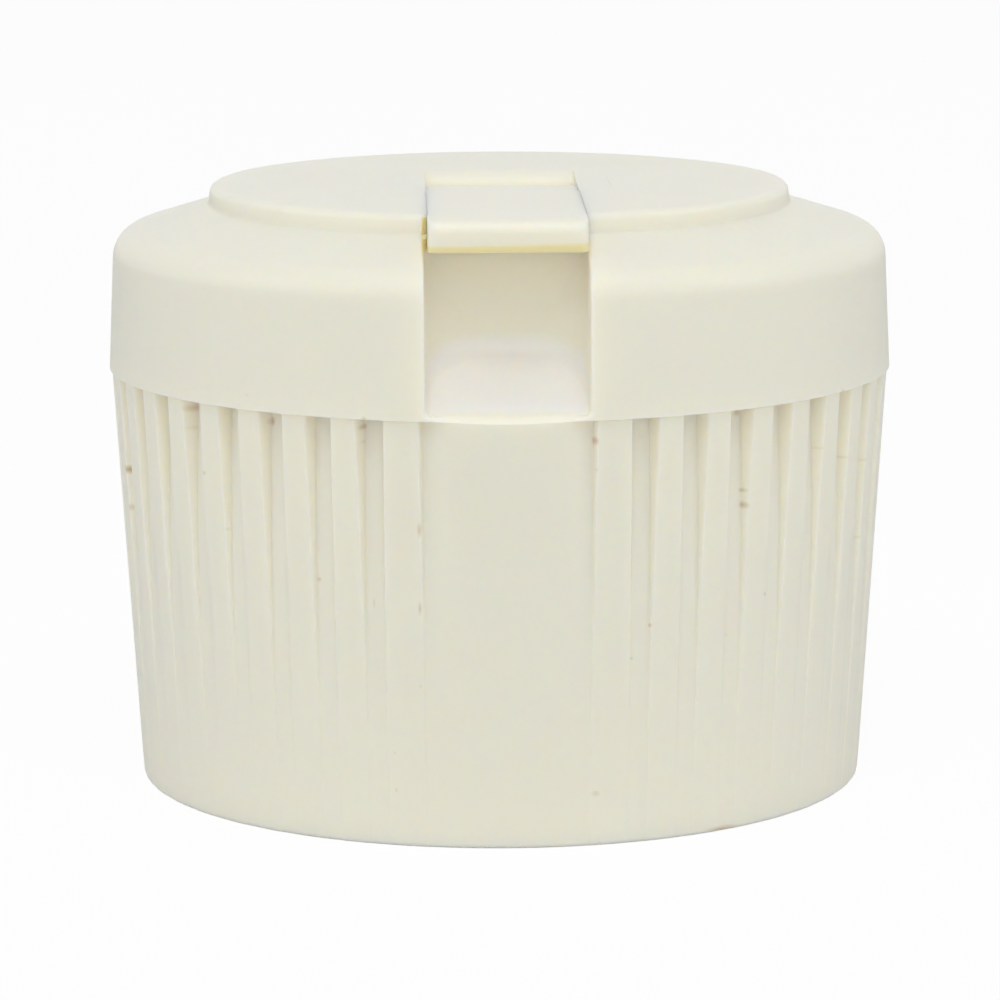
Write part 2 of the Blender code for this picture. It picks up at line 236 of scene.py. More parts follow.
def shoulder_profile():
    """Points from the deck's foot over the shoulder and down the band."""
    foot_radius = DECK_FOOT_RADIUS + DECK_FOOT_FILLET
    foot_height = shoulder_height(foot_radius) + DECK_FOOT_FILLET / math.cos(SHOULDER_SLOPE)
    slope = math.degrees(SHOULDER_SLOPE)
    foot_arc = arc((foot_radius, foot_height), DECK_FOOT_FILLET, 180, 270 - slope, 4)
    corner_arc = arc(band_corner_centre(), BAND_CORNER, 90 - slope, math.degrees(BAND_LEAN), 12)
    return foot_arc, corner_arc


def outside_profile():
    deck_edge = arc((DECK_RADIUS - DECK_EDGE, DECK_HEIGHT - DECK_EDGE), DECK_EDGE, 90, 0, 6)
    foot_arc, corner_arc = shoulder_profile()
    rim = arc((BASE_RADIUS - RIM_EDGE, RIM_EDGE), RIM_EDGE, 0, -90, 4)
    skirt = []
    for step in range(SKIRT_STEPS):
        height = (SKIRT_HEIGHT - GROOVE_CEILING) * (1 - step / SKIRT_STEPS)
        skirt.append((rib_radius(height), height))
    return [*deck_edge, *foot_arc, *corner_arc, (BAND_RADIUS, SKIRT_HEIGHT), *skirt, *rim]


def inside_profile():
    roof = DECK_HEIGHT - DECK_THICKNESS
    return [(NECK_RADIUS + MOUTH_CHAMFER, 0.0),
            (NECK_RADIUS, MOUTH_CHAMFER),
            (NECK_RADIUS, shoulder_height(NECK_RADIUS) - SHOULDER_THICKNESS),
            (SEAL_OUTER_RADIUS, shoulder_height(SEAL_OUTER_RADIUS) - SHOULDER_THICKNESS),
            (SEAL_OUTER_RADIUS, LAND_HEIGHT),
            (PLUG_RADIUS, LAND_HEIGHT),
            (PLUG_RADIUS - PLUG_TAPER, LAND_HEIGHT - PLUG_DEPTH),
            (SEAL_INNER_RADIUS, LAND_HEIGHT - PLUG_DEPTH),
            (SEAL_INNER_RADIUS, roof)]


print(len(outside_profile()), "points outside,", len(inside_profile()), "inside")

# %% [markdown]
# ## Turning it, and the grip
#
# The skirt has 46 groove places round it. Two are left out at the front, where a plain panel
# stands under the finger recess, and the groove on each side of the panel is open to it: its
# floor rises gently to the panel's face. A groove has a flat floor and steep sides. It is deep
# under the band and almost gone at the rim, because its floor stands upright while the skirt
# tapers, so that the mould can be drawn off downwards.
#
# Forty-four Boolean cuts would leave ragged slivers. Instead the section is spun with twenty
# columns to each groove place. The columns then slide sideways to where a groove's floor and
# sides need them, and move inwards by the groove's depth, which keeps clean, even quads.

# %% Spin the section and press in the grooves
GROOVE_COUNT = 46
COLUMNS = 20
FLOOR_COLUMNS = 2
SIDE_COLUMNS = 6
GROOVE_FLOOR_HALF = 0.0004
GROOVE_SIDE = 0.0001
GROOVE_DRAFT = 0.17
GROOVE_TOP_DEPTH = 0.00072
GROOVE_BASE_DEPTH = 0.000015
GROOVE_FALL = 2.9
PANEL_EDGE_DEPTH = 0.00035
PANEL_EDGE_BLEND = 0.0011
PANEL_CREASE = 0.0001
FIRST_GROOVE = 1
PITCH = math.tau / GROOVE_COUNT
HALF_PITCH = PITCH * BAND_RADIUS / 2


def full_depth(height, beside_panel):
    """Depth of a groove's floor at a height."""
    deepest = PANEL_EDGE_DEPTH if beside_panel else GROOVE_TOP_DEPTH
    share = min(1.0, max(0.0, height / SKIRT_HEIGHT))
    return GROOVE_BASE_DEPTH + (deepest - GROOVE_BASE_DEPTH) * share ** GROOVE_FALL


def column_offset(column, depth, floor_half):
    """Sideways place of a column: two on the floor, six up the side, the rest on the rib."""
    run = GROOVE_SIDE + GROOVE_DRAFT * depth
    if column <= FLOOR_COLUMNS:
        return floor_half * column / FLOOR_COLUMNS
    if column <= FLOOR_COLUMNS + SIDE_COLUMNS:
        return floor_half + run * (column - FLOOR_COLUMNS) / SIDE_COLUMNS
    rib_columns = COLUMNS // 2 - FLOOR_COLUMNS - SIDE_COLUMNS
    edge = floor_half + run
    return edge + (HALF_PITCH - edge) * (column - FLOOR_COLUMNS - SIDE_COLUMNS) / rib_columns


def pressed(offset, depth, floor_half):
    """How far the surface lies in at a sideways offset: flat floor, steep side with soft ends."""
    share = (offset - floor_half) / (GROOVE_SIDE + GROOVE_DRAFT * depth)
    share = min(1.0, max(0.0, share))
    return depth * (1 - share * share * (3 - 2 * share))


def groove_place(groove, column, height):
    """Sideways offset and depth of one column. The panel lies towards lower numbers of outward."""
    beside_panel = groove in (FIRST_GROOVE, -FIRST_GROOVE - 1)
    depth = full_depth(height, beside_panel)
    side = 1 if column >= 0 else -1
    outward = side * (1 if groove >= 0 else -1)
    if not beside_panel:
        offset = column_offset(abs(column), depth, GROOVE_FLOOR_HALF)
        return side * offset, pressed(offset, depth, GROOVE_FLOOR_HALF)
    if outward > 0:
        offset = column_offset(abs(column), depth, PANEL_CREASE)
        return side * offset, pressed(offset, depth, PANEL_CREASE)
    offset = HALF_PITCH * abs(column) / (COLUMNS // 2)
    share = min(1.0, (offset + PANEL_CREASE) / PANEL_EDGE_BLEND)
    return side * offset, depth * (1 + math.cos(math.pi * share)) / 2


def turned_body():
    """Spins the section, fills the deck and the roof, and presses in the grip's grooves."""
    bm = bmesh.new()
    profile = outside_profile() + inside_profile()
    verts = [bm.verts.new((radius, 0.0, height)) for radius, height in profile]
    edges = [bm.edges.new((verts[i], verts[i + 1])) for i in range(len(verts) - 1)]
    bmesh.ops.spin(bm, geom=verts + edges, cent=(0, 0, 0), axis=(0, 0, 1), angle=math.tau,
                   steps=GROOVE_COUNT * COLUMNS, use_merge=True)
    bmesh.ops.remove_doubles(bm, verts=bm.verts, dist=1e-7)
    bmesh.ops.holes_fill(bm, edges=[edge for edge in bm.edges if edge.is_boundary], sides=0)
    step = PITCH / COLUMNS
    for vert in bm.verts:
        index = round(math.atan2(vert.co.x, -vert.co.y) / step)
        groove = index // COLUMNS
        column = index - groove * COLUMNS - COLUMNS // 2
        offset, depth = groove_place(groove, column, vert.co.z)
        angle = (groove + 0.5) * PITCH + offset / BAND_RADIUS
        radius = Vector((vert.co.x, vert.co.y)).length
        on_skirt = vert.co.z < SKIRT_HEIGHT - GROOVE_CEILING / 2 and radius > BASE_RADIUS - 2 * RIM_EDGE
        if on_skirt and not -FIRST_GROOVE <= groove < FIRST_GROOVE:
            radius -= depth
        vert.co.x = radius * math.sin(angle)
        vert.co.y = -radius * math.cos(angle)
    return finished("cap_body_moulding", bm)


cap = turned_body()
print("turned body:", len(cap.data.vertices), "vertices")

# %% [markdown]
# ## The neck thread
#
# Inside the skirt a single thread of one and a half turns screws the cap on its bottle. On the
# mould it is cut as a spiral, so it is a spiral here too: a low trapezoid carried round and up
# by the thread's pitch, its foot sunk in the wall and its two ends running out to nothing.

# %% Wind the thread
THREAD_PITCH = 0.00423
THREAD_TURNS = 1.5
THREAD_START = 0.0035
THREAD_DEPTH = 0.00095
THREAD_FOOT = 0.0021
THREAD_CREST = 0.0009
THREAD_SUNK = 0.0003
THREAD_RUN_OUT = 0.09
THREAD_END_DEPTH = 0.02
THREAD_END_WIDTH = 0.4
THREAD_STEPS = 150


def thread_section(share):
    """Section of the thread at a share of its length."""
    angle = share * THREAD_TURNS * math.tau
    height = THREAD_START + share * THREAD_TURNS * THREAD_PITCH
    fade = min(1.0, share / THREAD_RUN_OUT, (1 - share) / THREAD_RUN_OUT)
    fade = THREAD_END_DEPTH + (1 - THREAD_END_DEPTH) * math.sin(fade * math.pi / 2)
    width = THREAD_END_WIDTH + (1 - THREAD_END_WIDTH) * fade
    sunk = NECK_RADIUS + THREAD_SUNK
    crest = NECK_RADIUS - THREAD_DEPTH * fade
    foot = THREAD_FOOT / 2 * width
    top = THREAD_CREST / 2 * width
    outline = [(sunk, -foot), (NECK_RADIUS, -foot), (crest, -top),
               (crest, top), (NECK_RADIUS, foot), (sunk, foot)]
    return [Vector((radius * math.cos(angle), radius * math.sin(angle), height + rise))
            for radius, rise in outline]


thread = swept("thread", [thread_section(step / THREAD_STEPS) for step in range(THREAD_STEPS + 1)])
combine(cap, thread, "UNION")
print("with thread:", len(cap.data.vertices), "vertices")

# %% [markdown]
# ## Walls under the deck
#
# The channel and the socket are deeper than the deck is thick, so the moulding carries them
# down as walls of an even thickness. They are joined on before anything is cut, and the cuts
# then leave them hollow.

# %% Join the channel's and the socket's walls
WALL = 0.0011
SIDE_GAP = 0.00025
TAB_HALF = 0.00319
TAB_SHIFT = 0.00008
TAB_SIDE_GAP = 0.00001
HUB_RADIUS = 0.00336
HUB_GAP = 0.00004
TUBE_RADIUS = 0.00242
TUBE_GAP = 0.0003
TAB_THICKNESS = 0.0013
TAB_GAP = 0.00003
TRUNNION_RADIUS = 0.0013
TRUNNION_GAP = 0.00025
SPOUT_HALF = 0.00305
RECESS_BACK = 0.012
RECESS_FLOOR_SLOPE = math.radians(27)
ROUND_STEPS = 96

CHANNEL_HALF = TAB_HALF + TAB_SIDE_GAP
RECESS_HALF = SPOUT_HALF + SIDE_GAP
SOCKET_RADIUS = HUB_RADIUS + HUB_GAP
SLOT_RADIUS = TRUNNION_RADIUS + TRUNNION_GAP
SLOT_REACH = TRUNNION_REACH + SIDE_GAP
TAB_UNDERSIDE = DECK_HEIGHT - TAB_THICKNESS
CHANNEL_FLOOR = hinge.z - TUBE_RADIUS - TUBE_GAP
BACK_WALL_REAR = RECESS_BACK - WALL
OVERCUT = 0.002


def recess_floor_height(distance):
    """Height of the finger recess's floor at a distance in front of the centre."""
    return SKIRT_HEIGHT + (BAND_RADIUS - distance) * math.tan(RECESS_FLOOR_SLOPE)


def channel_walls():
    front = NECK_RADIUS + WALL
    under_deck = DECK_HEIGHT - DECK_THICKNESS / 2
    under_shoulder = shoulder_height(front) - SHOULDER_THICKNESS / 2
    floor = CHANNEL_FLOOR - WALL
    outline = [(-front, recess_floor_height(front) - WALL),
               (-front, under_shoulder),
               (-DECK_RADIUS, SHOULDER_HEIGHT - SHOULDER_THICKNESS / 3),
               (-DECK_RADIUS + WALL, under_deck),
               (0.0, under_deck),
               (0.0, floor),
               (-BACK_WALL_REAR, floor),
               (-RECESS_BACK, recess_floor_height(RECESS_BACK) - WALL)]
    return extruded("channel_walls", outline, RECESS_HALF + WALL)


def socket_walls():
    radius = SOCKET_RADIUS + WALL
    top = DECK_HEIGHT - DECK_THICKNESS / 2
    outline = [(-radius, top)] + arc((0, hinge.z), radius, 180, 360, ROUND_STEPS // 2) + [(radius, top)]
    return extruded("socket_walls", outline, SLOT_REACH + WALL)


combine(cap, channel_walls(), "UNION")
combine(cap, socket_walls(), "UNION")
print("with walls:", len(cap.data.vertices), "vertices")

# %% [markdown]
# ## The finger recess
#
# The recess is a scoop. Its floor rises to the back and runs up into the back wall in a wide
# hollow, and its two back corners are tight under the spout's lip and open out on the way down,
# like the bowl of a spoon. The tool is a stack of U-shaped sections, each a little wider than
# the one below, bridged into one body. It is built on a level floor and then leaned back.

# %% Cut the finger recess
RECESS_SIDE_FILLET = 0.00025
RECESS_BACK_FILLET = 0.0006
RECESS_FILLET_HEIGHT = 0.0007
RECESS_CORNER_LOW = 0.0024
RECESS_CORNER_HIGH = 0.0002
RECESS_FILLET_STEPS = 10
RECESS_WALL_STEPS = 6
MOUTH_HALF = RECESS_HALF - 0.00003


def hollow(height, reach, rise):
    """How far a fillet that reaches out and rises by these lengths covers the floor at a height."""
    if height >= rise:
        return 0.0
    return reach * (1 - math.sin(math.acos(1 - height / rise)))


def recess_section(height):
    """U-shaped section of the scoop at a height over its floor."""
    front = -BAND_RADIUS - OVERCUT
    half = MOUTH_HALF - hollow(height, RECESS_SIDE_FILLET, RECESS_SIDE_FILLET)
    back = -RECESS_BACK - hollow(height, RECESS_BACK_FILLET, RECESS_FILLET_HEIGHT)
    lip_height = TAB_UNDERSIDE - recess_floor_height(RECESS_BACK)
    share = min(1.0, height / lip_height)
    corner = RECESS_CORNER_LOW + (RECESS_CORNER_HIGH - RECESS_CORNER_LOW) * share
    right = arc((half - corner, back - corner), corner, 0, 90, RECESS_FILLET_STEPS)
    outline = [(half, front), *right, *[(-x, y) for x, y in reversed(right)], (-half, front)]
    rise = math.tan(RECESS_FLOOR_SLOPE)
    return [Vector((x, y, SKIRT_HEIGHT + height + (BAND_RADIUS + y) * rise)) for x, y in outline]


def recess_tool():
    heights = [RECESS_FILLET_HEIGHT * (1 - math.cos(math.pi / 2 * step / RECESS_FILLET_STEPS))
               for step in range(RECESS_FILLET_STEPS + 1)]
    top = DECK_HEIGHT + OVERCUT - SKIRT_HEIGHT
    heights += [RECESS_FILLET_HEIGHT + (top - RECESS_FILLET_HEIGHT) * step / RECESS_WALL_STEPS
                for step in range(1, RECESS_WALL_STEPS + 1)]
    return swept("recess_tool", [recess_section(height) for height in heights])


combine(cap, recess_tool(), "DIFFERENCE")
print("with recess:", len(cap.data.vertices), "vertices")

# %% [markdown]
# ## Channel, socket, trunnion slots and port
#
# The channel holds the spout's tab and tube, and the round socket holds its hub. The socket's
# rear edge is rounded, because the raised tab leans back on it. Each trunnion sits in a round
# seat under a narrow neck that it snaps past. From above only a shallow mark shows over each
# slot, so the slot stops under a thin skin of the deck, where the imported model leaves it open.
# A port in the socket's floor lets the liquid up when the spout is raised.

# %% Cut the channel and the socket
SOCKET_LIP = 0.0009
EDGE_ROUND = 0.00015
SNAP_HALF_GAP = 0.00115
SNAP_HEIGHT = 0.0004
SLOT_SKIN = 0.0005
POCKET_DEPTH = 0.00004
POCKET_HALF_LENGTH = 0.0023
POCKET_SLOPE = 0.0007
POCKET_INSET = 0.0001
PORT_RADIUS = 0.0013


def channel_tool():
    top = DECK_HEIGHT + OVERCUT
    over_wall = TAB_UNDERSIDE - TAB_GAP
    front = RECESS_BACK + RECESS_CORNER_HIGH
    rear_edge = arc((-BACK_WALL_REAR - EDGE_ROUND, over_wall - EDGE_ROUND), EDGE_ROUND, 90, 0, 3)
    outline = [(-front, top), (-front, over_wall), *rear_edge,
               (-BACK_WALL_REAR, CHANNEL_FLOOR), (0.0, CHANNEL_FLOOR), (0.0, top)]
    return extruded("channel_tool", outline, CHANNEL_HALF, TAB_SHIFT)


def socket_tool():
    rear = SOCKET_RADIUS + SOCKET_LIP
    trough = arc((0, hinge.z), SOCKET_RADIUS, 180, 360, ROUND_STEPS // 2)
    lip = arc((rear, DECK_HEIGHT - SOCKET_LIP), SOCKET_LIP, 180, 90, 8)
    top = DECK_HEIGHT + OVERCUT
    outline = [(-SOCKET_RADIUS, top), *trough, *lip, (rear, top)]
    return extruded("socket_tool", outline, CHANNEL_HALF, TAB_SHIFT)


def trunnion_slot_tool():
    neck_angle = math.degrees(math.acos(SNAP_HALF_GAP / SLOT_RADIUS))
    neck_height = hinge.z + SLOT_RADIUS * math.sin(math.radians(neck_angle))
    seat = arc((0, hinge.z), SLOT_RADIUS, 180 - neck_angle, 360 + neck_angle, ROUND_STEPS // 2)
    above = neck_height + SNAP_HEIGHT
    flare = above + SLOT_RADIUS - SNAP_HALF_GAP
    right = [(SNAP_HALF_GAP, above), (SLOT_RADIUS, flare), (SLOT_RADIUS, DECK_HEIGHT - SLOT_SKIN)]
    left = [(-y, z) for y, z in reversed(right)]
    return extruded("trunnion_slot_tool", seat + right + left, SLOT_REACH)


def pocket_tool():
    """The shallow mark that shows in the deck over each trunnion."""
    floor = DECK_HEIGHT - POCKET_DEPTH
    half = POCKET_HALF_LENGTH
    outline = [(-half, DECK_HEIGHT), (-half + POCKET_SLOPE, floor), (half - POCKET_SLOPE, floor),
               (half, DECK_HEIGHT), (half, DECK_HEIGHT + OVERCUT), (-half, DECK_HEIGHT + OVERCUT)]
    return extruded("pocket_tool", outline, SLOT_REACH - POCKET_INSET)


def port_tool():
    below = Vector((0, 0, hinge.z - SOCKET_RADIUS - WALL - OVERCUT))
    return rod("port_tool", PORT_RADIUS, below, hinge, ROUND_STEPS // 2)


for tool in (channel_tool(), socket_tool(), trunnion_slot_tool(), pocket_tool(), port_tool()):
    combine(cap, tool, "DIFFERENCE")
print("with channel:", len(cap.data.vertices), "vertices")

# %% [markdown]
# ## Rounded edges of the recess
#
# Where the recess breaks through the band and the shoulder, the edge is slightly rounded, and
# at the floor's front it rolls softly into the panel. The two upright edges where the recess
# leaves through the deck's round side are rounded the same way. A bevel would stumble over the
# many small faces there, so a bar is swept along the edge whose inner face is the hollow of the
# rounding, and cut away. Each step of the path holds the edge point, the outward directions of
# the two faces that meet there, and the radius wanted.

# %% Sweep and cut the edge roundings
FLOOR_EDGE_ROUND = 0.00045
ROUNDING_STEPS = 5
TOOL_LIFT = 0.000004
TOOL_REACH = 0.0004
MOUTH_SHOULDER_STEPS = 5
MOUTH_CORNER_STEPS = 9
MOUTH_SIDE_SHARES = (0.35, 0.7, 0.95)
MOUTH_FILLET_STEPS = 8
MOUTH_FLOOR_STEPS = 6
MOUTH_SOFTENING_STEPS = 2


def rounding_section(edge, face, wall, radius):
    """Section of the bar that rounds a convex edge between two faces with these outward normals."""
    away = (-wall + face * wall.dot(face)).normalized()
    down = (-face + wall * face.dot(wall)).normalized()
    centre = edge + radius * (away + down)
    points = [edge + radius * away + TOOL_LIFT * face]
    for step in range(1, ROUNDING_STEPS):
        angle = math.pi / 2 * step / ROUNDING_STEPS
        points.append(centre - radius * (math.cos(angle) * down + math.sin(angle) * away))
    points.append(edge + radius * down + TOOL_LIFT * wall)
    outward = [edge + radius * down + TOOL_REACH * wall, edge + TOOL_REACH * (wall + face),
               edge + radius * away + TOOL_REACH * face]
    return points + outward


def on_band(x, height):
    """Point of the band's surface at a sideways place and height, and its outward direction."""
    radius = band_radius(height)
    y = -math.sqrt(radius ** 2 - x ** 2)
    return Vector((x, y, height)), Vector((x, y, radius * math.tan(BAND_LEAN))).normalized()


def recess_mouth_path():
    """The mouth's edge from the shoulder down one side, along the floor and up the other."""
    half = MOUTH_HALF
    slope = math.degrees(SHOULDER_SLOPE)
    corner = band_corner_centre()
    path = []
    start = DECK_FOOT_RADIUS + 2 * DECK_FOOT_FILLET
    end = corner[0] + BAND_CORNER * math.sin(SHOULDER_SLOPE)
    for step in range(MOUTH_SHOULDER_STEPS + 1):
        radius = start + (end - start) * step / MOUTH_SHOULDER_STEPS
        y = -math.sqrt(radius ** 2 - half ** 2)
        normal = Vector((half / radius * math.sin(SHOULDER_SLOPE), y / radius * math.sin(SHOULDER_SLOPE),
                         math.cos(SHOULDER_SLOPE)))
        path.append((Vector((half, y, shoulder_height(radius))), normal, Vector((-1, 0, 0)), EDGE_ROUND))
    for step in range(1, MOUTH_CORNER_STEPS + 1):
        turned = (math.degrees(BAND_LEAN) - 90 + slope) * step / MOUTH_CORNER_STEPS
        angle = math.radians(90 - slope + turned)
        radius = corner[0] + BAND_CORNER * math.cos(angle)
        height = corner[1] + BAND_CORNER * math.sin(angle)
        y = -math.sqrt(radius ** 2 - half ** 2)
        normal = Vector((half / radius * math.cos(angle), y / radius * math.cos(angle), math.sin(angle)))
        path.append((Vector((half, y, height)), normal, Vector((-1, 0, 0)), EDGE_ROUND))
    front = math.sqrt(BAND_RADIUS ** 2 - half ** 2)
    bend = recess_floor_height(front) + RECESS_SIDE_FILLET
    inner = half - RECESS_SIDE_FILLET
    top = path[-1][0].z
    for share in MOUTH_SIDE_SHARES:
        point, normal = on_band(half, top + (bend - top) * share)
        path.append((point, normal, Vector((-1, 0, 0)), EDGE_ROUND))
    for step in range(MOUTH_FILLET_STEPS + 1):
        angle = math.radians(90 * step / MOUTH_FILLET_STEPS)
        x = inner + RECESS_SIDE_FILLET * math.cos(angle)
        point, normal = on_band(x, bend - RECESS_SIDE_FILLET * math.sin(angle))
        path.append((point, normal, Vector((-math.cos(angle), 0, math.sin(angle))), EDGE_ROUND))
    for step in range(1, MOUTH_FLOOR_STEPS + 1):
        x = inner * (1 - step / MOUTH_FLOOR_STEPS)
        distance = math.sqrt(BAND_RADIUS ** 2 - x ** 2)
        point, normal = on_band(x, recess_floor_height(distance))
        floor = Vector((0, -math.sin(RECESS_FLOOR_SLOPE), math.cos(RECESS_FLOOR_SLOPE)))
        softened = min(1.0, step / MOUTH_SOFTENING_STEPS)
        radius = EDGE_ROUND + (FLOOR_EDGE_ROUND - EDGE_ROUND) * softened
        path.append((point, normal, floor, radius))
    other = [(Vector((-p.x, p.y, p.z)), Vector((-n.x, n.y, n.z)), Vector((-w.x, w.y, w.z)), r)
             for p, n, w, r in reversed(path[:-1])]
    return path + other


mouth = swept("mouth_rounding", [rounding_section(*step) for step in recess_mouth_path()])
combine(cap, mouth, "DIFFERENCE")


def deck_corner_path(side):
    """The upright edge where the recess leaves through the deck's round side."""
    across = MOUTH_HALF / DECK_FOOT_RADIUS
    normal = Vector((side * across, -math.sqrt(1 - across ** 2), 0))
    wall = Vector((-side, 0, 0))
    y = -math.sqrt(DECK_FOOT_RADIUS ** 2 - MOUTH_HALF ** 2)
    return [(Vector((side * MOUTH_HALF, y, z)), normal, wall, EDGE_ROUND)
            for z in (SHOULDER_HEIGHT, DECK_HEIGHT + OVERCUT)]


for side in (-1, 1):
    bar = swept("edge_rounding", [rounding_section(*step) for step in deck_corner_path(side)])
    combine(cap, bar, "DIFFERENCE")
print("with rounded edges:", len(cap.data.vertices), "vertices")

# %% [markdown]
# ## The spout
#
# The spout is the second moulding. A flat tab is all that shows while it is shut. Under it run
# the tube, whose bore opens at the front, and the hub, a short drum that turns in the socket
# as a valve: its cross bore meets the port only when the spout stands up. Two trunnions carry
# it. The tab is lofted from side outlines that get shorter and thinner close to its sides, which
# rounds its edges and the lip's corners. The round parts are rods. The hub is as wide as the
# tab, and a heel fills the corner between them, so that no gap shows behind the tab.

# %% Build the spout
TAB_REAR = 0.0033
TAB_CORNER = 0.0004
TAB_TOP_EDGE = 0.0005
TAB_LOW_EDGE = 0.0003
TAB_SIDE_EDGE = 0.00002
TAB_SIDE_STEPS = 8
TUBE_REACH = 0.0104
BORE_RADIUS = 0.0013
TRUNNION_CHAMFER = 0.0003
HEEL_REAR = 0.0002
HEEL_FLAT = 0.0027
HEEL_FRONT = 0.0038


def run_out(distance, radius):
    """How far a rounding of this radius has fallen away at a distance from the edge."""
    if distance >= radius:
        return 0.0
    return radius - math.sqrt(radius ** 2 - (radius - distance) ** 2)


def tab_section(x):
    """Side outline of the tab at a sideways place."""
    fall = run_out(TAB_HALF - abs(x), TAB_SIDE_EDGE)
    tip = -TAB_TIP + run_out(TAB_HALF - abs(x), TAB_CORNER)
    top, low = DECK_HEIGHT - fall, TAB_UNDERSIDE + fall
    rear = arc((-TAB_REAR - TAB_TOP_EDGE, top - TAB_TOP_EDGE), TAB_TOP_EDGE, 0, 90, 4)
    tip_top = arc((tip + TAB_TOP_EDGE, top - TAB_TOP_EDGE), TAB_TOP_EDGE, 90, 180, 6)
    tip_low = arc((tip + TAB_LOW_EDGE, low + TAB_LOW_EDGE), TAB_LOW_EDGE, 180, 270, 4)
    outline = [(-TAB_REAR, low), *rear, *tip_top, *tip_low]
    return [Vector((x + TAB_SHIFT, y, z)) for y, z in outline]


def tab_block():
    """The tab, finer stepped close to its sides."""
    insets = [TAB_CORNER * (1 - math.cos(math.pi / 2 * step / TAB_SIDE_STEPS))
              for step in range(TAB_SIDE_STEPS + 1)]
    stations = [-TAB_HALF + inset for inset in insets]
    stations += [TAB_HALF - inset for inset in reversed(insets)]
    return swept("tab_block", [tab_section(x) for x in stations])


def heel():
    """Fills the corner between the hub's top and the tab's rear, and clears the socket's lip."""
    level = hinge.z + HUB_RADIUS
    outline = [(HEEL_REAR, hinge.z), (HEEL_REAR, level), (-HEEL_FLAT, level), (-HEEL_FRONT, DECK_HEIGHT),
               (-HEEL_FRONT, hinge.z)]
    return extruded("heel", outline, TAB_HALF, TAB_SHIFT)


def trunnion_pins():
    pins = rod("trunnion_pins", TRUNNION_RADIUS, hinge - Vector((TRUNNION_REACH, 0, 0)),
               hinge + Vector((TRUNNION_REACH, 0, 0)), ROUND_STEPS // 2)
    bm = bmesh.new()
    bm.from_mesh(pins.data)
    bpy.data.objects.remove(pins, do_unlink=True)
    ends = [edge for edge in bm.edges if abs(edge.verts[0].co.x - edge.verts[1].co.x) < TRUNNION_REACH]
    bmesh.ops.bevel(bm, geom=ends, offset=TRUNNION_CHAMFER, segments=2, profile=0.5,
                    affect="EDGES", clamp_overlap=True, material=-1)
    return finished("trunnion_pins", bm)


forward = Vector((0, -1, 0))
left_end = hinge + Vector((TAB_SHIFT - TAB_HALF, 0, 0))
right_end = hinge + Vector((TAB_SHIFT + TAB_HALF, 0, 0))
spout = rod("flip_spout_moulding", HUB_RADIUS, left_end, right_end, ROUND_STEPS)
tube = rod("tube", TUBE_RADIUS, hinge, hinge + TUBE_REACH * forward, ROUND_STEPS)
for piece in (trunnion_pins(), tube, heel(), tab_block()):
    combine(spout, piece, "UNION")
bore = rod("bore", BORE_RADIUS, hinge - (HUB_RADIUS + OVERCUT) * forward,
           hinge + (TUBE_REACH + OVERCUT) * forward, ROUND_STEPS // 2)
combine(spout, bore, "DIFFERENCE")
print("spout:", len(spout.data.vertices), "vertices")

# %% [markdown]
# ## Clean shading
#
# A Boolean leaves large flat faces beside narrow curved ones. Weighted normals let the large
# faces keep their direction, so the flats stay flat and only the roundings bend the light.
# Creases steeper than 35 degrees stay crisp.

# %% Smooth both mouldings
CREASE = math.radians(35)


def shade(item):
    item.data.shade_smooth()
    item.data.set_sharp_from_angle(angle=CREASE)
    weighted = item.modifiers.new("Weighted normals", "WEIGHTED_NORMAL")
    weighted.keep_sharp = True
    weighted.weight = 100


for item in (cap, spout):
    shade(item)
    print(item.name, len(item.data.polygons), "faces")

# %% [markdown]
# ## The plastic
#
# Ivory polypropylene is slightly translucent: light enters, scatters and comes out yellower,
# most of all in the grooves, in the recess and along the thin lip. Subsurface scattering makes
# that depth. A faint cloudiness of the colour and an uneven gloss come from noise, and a very
# fine bump is the grain of the mould's steel.

# %% Plastic material
IVORY = (0.97, 0.912, 0.79)
IVORY_DEEP = (0.96, 0.892, 0.76)
SCATTER_RADIUS = (1.0, 0.85, 0.6)
SCATTER_SCALE = 0.0006
REFRACTION = 1.49
CLOUD_SCALE = 260.0
CLOUD_DETAIL = 3.0
GLOSS_SPREAD = 0.05
GRAIN_SCALE = 5000.0
GRAIN_STRENGTH = 0.08
GRAIN_DEPTH = 0.00002
CAP_ROUGHNESS = 0.38
SPOUT_ROUGHNESS = 0.36


def node(tree, kind, place, **settings):
    made = tree.nodes.new(kind)
    made.location = place
    for key, value in settings.items():
        setattr(made, key, value)
    return made


